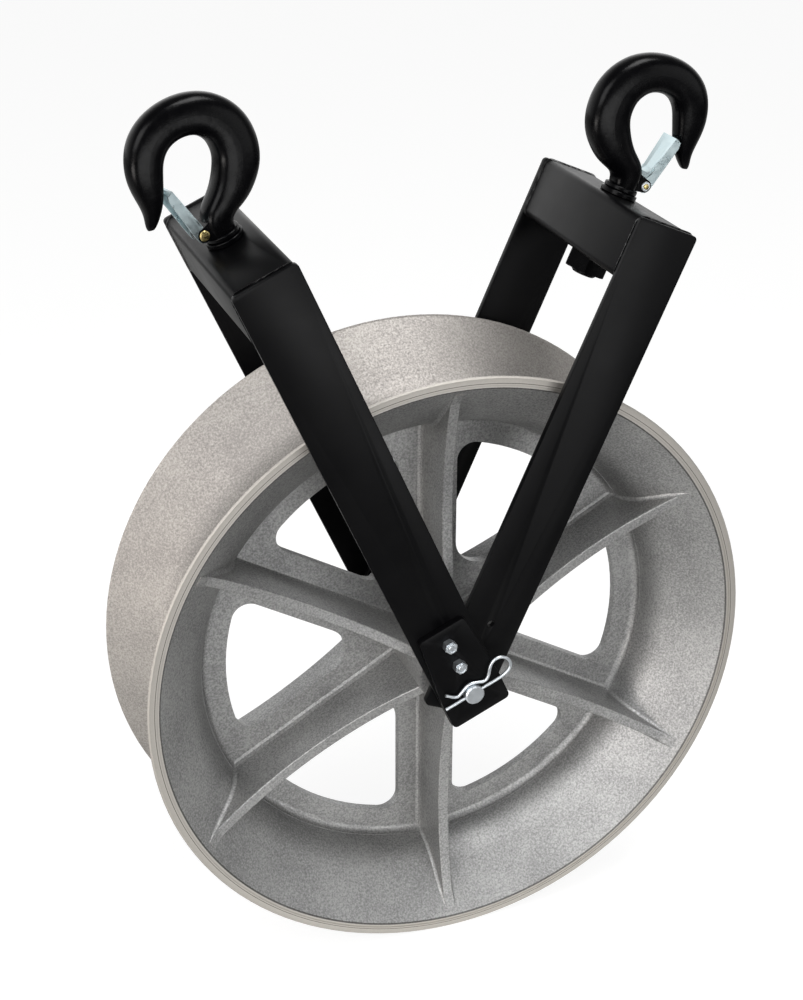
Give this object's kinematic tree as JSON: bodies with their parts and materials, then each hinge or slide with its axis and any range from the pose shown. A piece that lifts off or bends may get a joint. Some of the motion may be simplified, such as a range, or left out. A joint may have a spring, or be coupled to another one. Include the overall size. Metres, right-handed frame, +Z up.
{
  "type": "stringing block",
  "caption": "Wide cast conductor sheave on an axle between two swinging forked yokes, each topped by a swivelling safety hook.",
  "frame": {"origin": "centre of the sheave on the axle's line", "axes": "+Y along the axle to the end away from the hitch pin, +Z up between the two yokes, +X to the right seen from the hitch pin"},
  "size_m": [0.6099, 0.2551, 0.8661],
  "materials": {
    "cast_aluminium": "sand cast, lips machined",
    "bearing_steel": "ground",
    "turned_steel": "turned",
    "zinc_plate": "bright zinc plate",
    "yellow_zinc": "yellow zinc plate",
    "black_powder_coat": "satin powder coat",
    "black_forged": "gloss black over forging"
  },
  "bodies": {
    "left_yoke": {"left_leg_front": "black_powder_coat", "left_leg_rear": "black_powder_coat", "left_weld_front": "black_powder_coat", "left_weld_rear": "black_powder_coat", "left_crosshead": "black_powder_coat", "axle_pin": "zinc_plate", "hitch_pin": "zinc_plate", "pin_plate": "black_powder_coat", "plate_bolts": "zinc_plate", "plate_nuts": "zinc_plate", "yoke_washer_front": "zinc_plate", "yoke_washer_rear": "zinc_plate", "hub_spacer_front": "turned_steel", "hub_spacer_rear": "turned_steel"},
    "sheave_body": {"sheave": "cast_aluminium", "bearing_front": "bearing_steel", "bearing_rear": "bearing_steel"},
    "right_yoke": {"right_leg_front": "black_powder_coat", "right_leg_rear": "black_powder_coat", "right_weld_front": "black_powder_coat", "right_weld_rear": "black_powder_coat", "right_crosshead": "black_powder_coat"},
    "left_hook_body": {"left_hook": "black_forged", "left_hook_ring": "black_forged", "left_hook_nut": "black_forged", "left_latch_bolt": "yellow_zinc", "left_latch_nut": "yellow_zinc"},
    "left_latch_body": {"left_latch": "zinc_plate", "left_latch_spring": "turned_steel"},
    "right_hook_body": {"right_hook": "black_forged", "right_hook_ring": "black_forged", "right_hook_nut": "black_forged", "right_latch_bolt": "yellow_zinc", "right_latch_nut": "yellow_zinc"},
    "right_latch_body": {"right_latch": "zinc_plate", "right_latch_spring": "turned_steel"}
  },
  "joints": [
    {"name": "sheave_spin", "type": "hinge", "parent": "left_yoke", "child": "sheave_body", "pos_m": [0, 0, 0], "axis": [0, 1, 0], "continuous": true},
    {"name": "right_yoke_swing", "type": "hinge", "parent": "left_yoke", "child": "right_yoke", "pos_m": [0, 0, 0], "axis": [0, 1, 0], "range_deg": [-31, 296]},
    {"name": "left_hook_swivel", "type": "hinge", "parent": "left_yoke", "child": "left_hook_body", "pos_m": [-0.18956, 0, 0.4304], "axis": [-0.4031, 0, 0.9152], "continuous": true},
    {"name": "left_latch_swing", "type": "hinge", "parent": "left_hook_body", "child": "left_latch_body", "pos_m": [-0.21284, -0.00313, 0.43928], "axis": [-0.1589, 0.9848, -0.07], "range_deg": [0, 26], "stiffness_Nm_per_rad": 0.25, "springref_deg": -20.05},
    {"name": "right_hook_swivel", "type": "hinge", "parent": "right_yoke", "child": "right_hook_body", "pos_m": [0.18956, 0, 0.4304], "axis": [0.4031, 0, 0.9152], "continuous": true},
    {"name": "right_latch_swing", "type": "hinge", "parent": "right_hook_body", "child": "right_latch_body", "pos_m": [0.21309, 0, 0.43917], "axis": [0, -1, 0], "range_deg": [0, 26], "stiffness_Nm_per_rad": 0.25, "springref_deg": -20.05}
  ]
}
